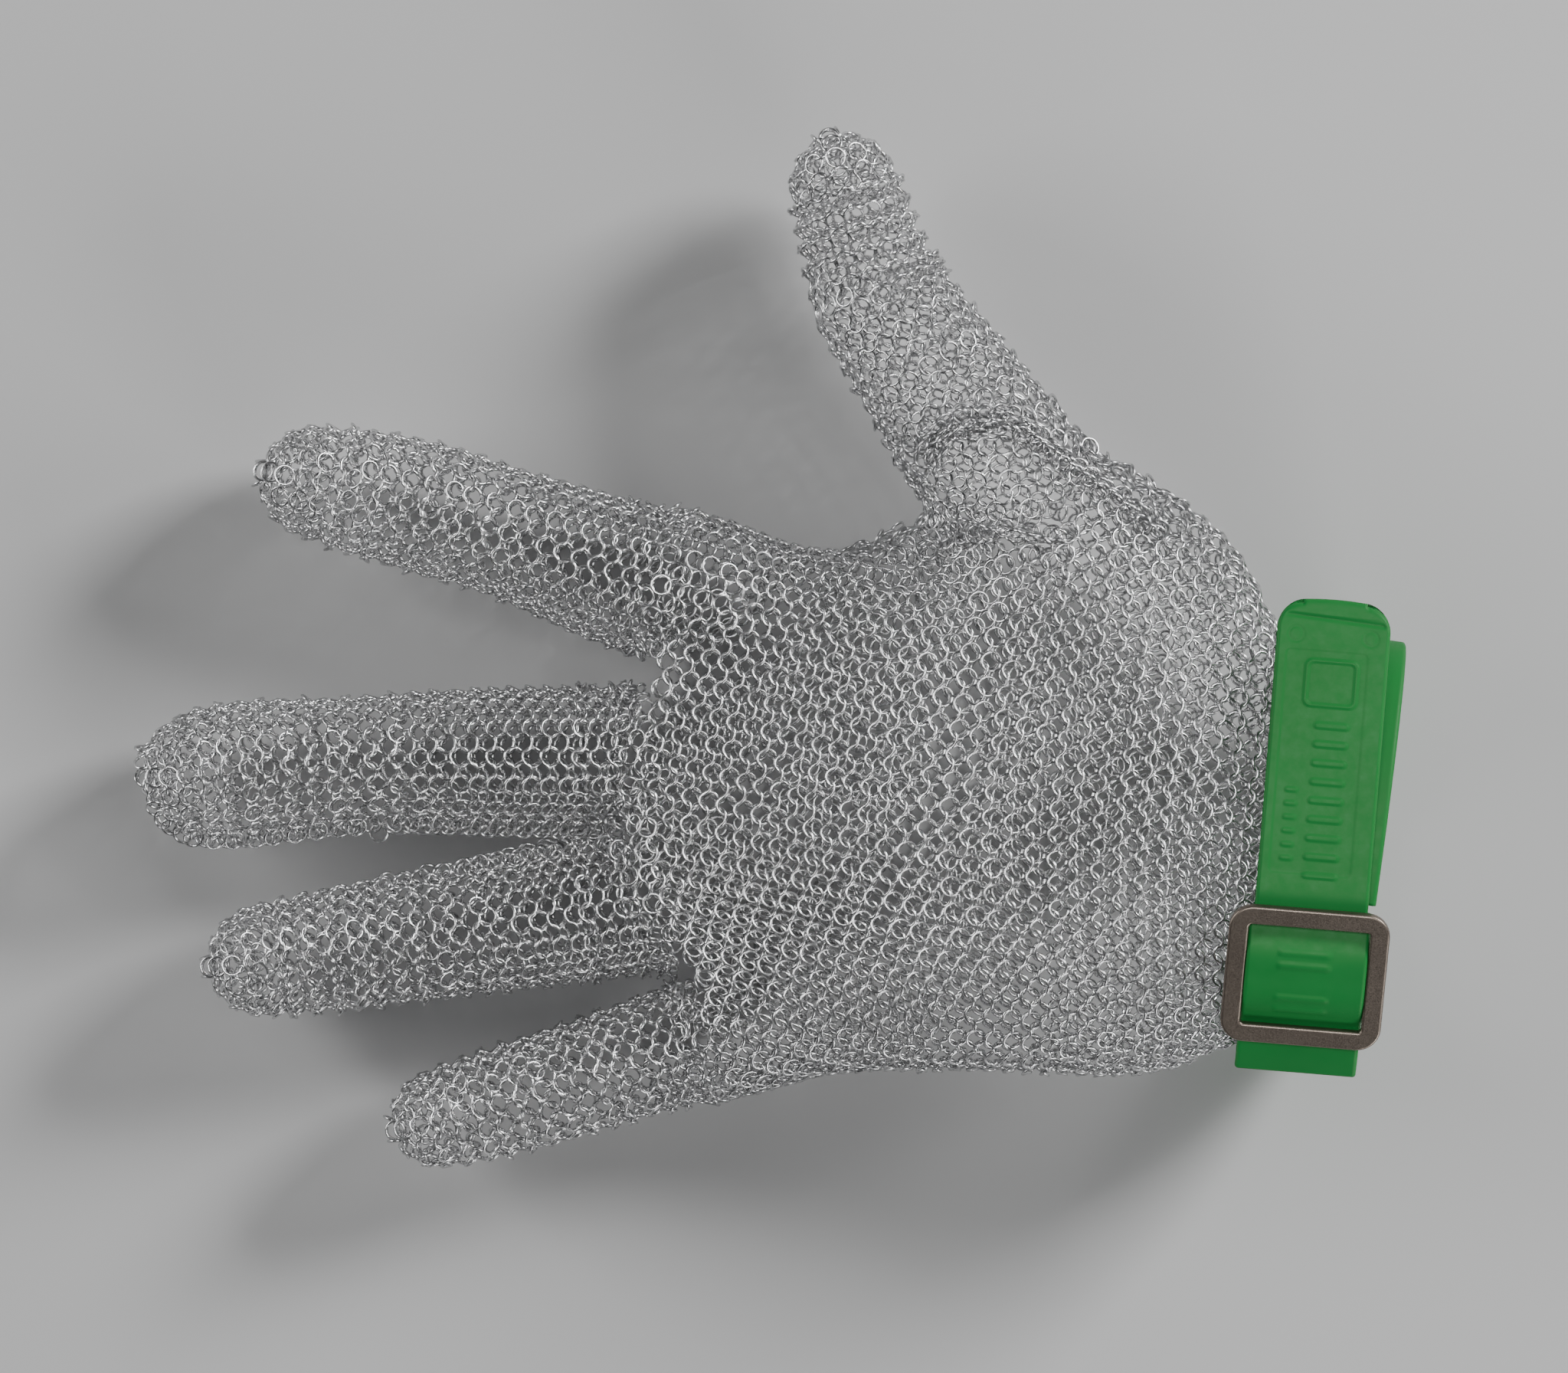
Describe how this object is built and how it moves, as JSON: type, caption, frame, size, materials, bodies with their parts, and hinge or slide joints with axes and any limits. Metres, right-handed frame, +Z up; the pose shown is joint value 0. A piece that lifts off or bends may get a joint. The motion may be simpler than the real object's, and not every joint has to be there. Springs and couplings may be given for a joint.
{
  "type": "cut resistant glove",
  "caption": "Five-finger stainless ring-mesh glove in its filled-out shape, palm up, with a moulded wrist strap and a three-bar buckle.",
  "frame": {"origin": "middle of the footprint, on the surface that the back of the glove lies on", "axes": "+X from the fingertips to the wrist strap, +Y to the thumb side, +Z up out of the palm"},
  "size_m": [0.225, 0.1864, 0.0468],
  "materials": {
    "ring_mesh": "bright welded stainless rings",
    "buckle_steel": "blasted grey stainless with polished edges",
    "edge_wire": "drawn stainless wire",
    "strap_polymer": "semi-matt moulded green polymer"
  },
  "bodies": {
    "hand": {"palm_front_mesh": "ring_mesh", "palm_back_mesh": "ring_mesh", "heel_front_mesh": "ring_mesh", "heel_back_mesh": "ring_mesh", "thumb_root_mesh": "ring_mesh", "cuff_mesh": "ring_mesh", "cuff_edge_wire": "edge_wire", "strap_hooks": "strap_polymer", "strap_band": "strap_polymer", "index_base_knuckle": "ring_mesh", "middle_base_knuckle": "ring_mesh", "ring_base_knuckle": "ring_mesh", "little_base_knuckle": "ring_mesh", "thumb_base_knuckle": "ring_mesh"},
    "index_lower": {"index_lower_mesh": "ring_mesh", "index_middle_knuckle": "ring_mesh"},
    "index_upper": {"index_upper_mesh": "ring_mesh"},
    "middle_lower": {"middle_lower_mesh": "ring_mesh", "middle_middle_knuckle": "ring_mesh"},
    "middle_upper": {"middle_upper_mesh": "ring_mesh"},
    "ring_lower": {"ring_lower_mesh": "ring_mesh", "ring_middle_knuckle": "ring_mesh"},
    "ring_upper": {"ring_upper_mesh": "ring_mesh"},
    "little_lower": {"little_lower_mesh": "ring_mesh", "little_middle_knuckle": "ring_mesh"},
    "little_upper": {"little_upper_mesh": "ring_mesh"},
    "thumb_lower": {"thumb_lower_mesh": "ring_mesh", "thumb_middle_knuckle": "ring_mesh"},
    "thumb_upper": {"thumb_upper_mesh": "ring_mesh"},
    "buckle": {"buckle_frame": "buckle_steel", "buckle_centre_bar": "buckle_steel", "strap_buckle_run": "strap_polymer", "strap_end_loop": "strap_polymer"},
    "free_end": {"strap_free_end": "strap_polymer"}
  },
  "joints": [
    {"name": "index_base_flex", "type": "hinge", "parent": "hand", "child": "index_lower", "pos_m": [-0.02889, 0.01443, 0.013], "axis": [0.2723, 0.9622, 0], "range_deg": [0, 60]},
    {"name": "index_middle_flex", "type": "hinge", "parent": "index_lower", "child": "index_upper", "pos_m": [-0.05391, 0.02151, 0.013], "axis": [0.2723, 0.9622, 0], "range_deg": [0, 65]},
    {"name": "middle_base_flex", "type": "hinge", "parent": "hand", "child": "middle_lower", "pos_m": [-0.03358, -0.01882, 0.013], "axis": [-0.0454, 0.999, 0], "range_deg": [0, 60]},
    {"name": "middle_middle_flex", "type": "hinge", "parent": "middle_lower", "child": "middle_upper", "pos_m": [-0.06255, -0.02013, 0.013], "axis": [-0.0454, 0.999, 0], "range_deg": [0, 65]},
    {"name": "ring_base_flex", "type": "hinge", "parent": "hand", "child": "ring_lower", "pos_m": [-0.03412, -0.04651, 0.0128], "axis": [-0.1444, 0.9895, 0], "range_deg": [0, 60]},
    {"name": "ring_middle_flex", "type": "hinge", "parent": "ring_lower", "child": "ring_upper", "pos_m": [-0.06034, -0.05034, 0.0128], "axis": [-0.1444, 0.9895, 0], "range_deg": [0, 65]},
    {"name": "little_base_flex", "type": "hinge", "parent": "hand", "child": "little_lower", "pos_m": [-0.01914, -0.07103, 0.0114], "axis": [-0.284, 0.9588, 0], "range_deg": [0, 60]},
    {"name": "little_middle_flex", "type": "hinge", "parent": "little_lower", "child": "little_upper", "pos_m": [-0.04119, -0.07756, 0.0114], "axis": [-0.284, 0.9588, 0], "range_deg": [0, 65]},
    {"name": "thumb_base_flex", "type": "hinge", "parent": "hand", "child": "thumb_lower", "pos_m": [0.036, 0.0385, 0.0195], "axis": [0.7281, 0.5401, 0.4221], "range_deg": [0, 60]},
    {"name": "thumb_middle_flex", "type": "hinge", "parent": "thumb_lower", "child": "thumb_upper", "pos_m": [0.0184, 0.0634, 0.018], "axis": [0.8583, 0.2924, 0.4217], "range_deg": [0, 65]},
    {"name": "buckle_lift", "type": "hinge", "parent": "hand", "child": "buckle", "pos_m": [0.09465, -0.04513, 0.04526], "axis": [-0.9966, 0.0819, 0], "range_deg": [0, 15]},
    {"name": "free_end_lift", "type": "hinge", "parent": "hand", "child": "free_end", "pos_m": [0.09469, -0.04461, 0.04529], "axis": [0.9966, -0.0819, 0], "range_deg": [0, 60]}
  ]
}
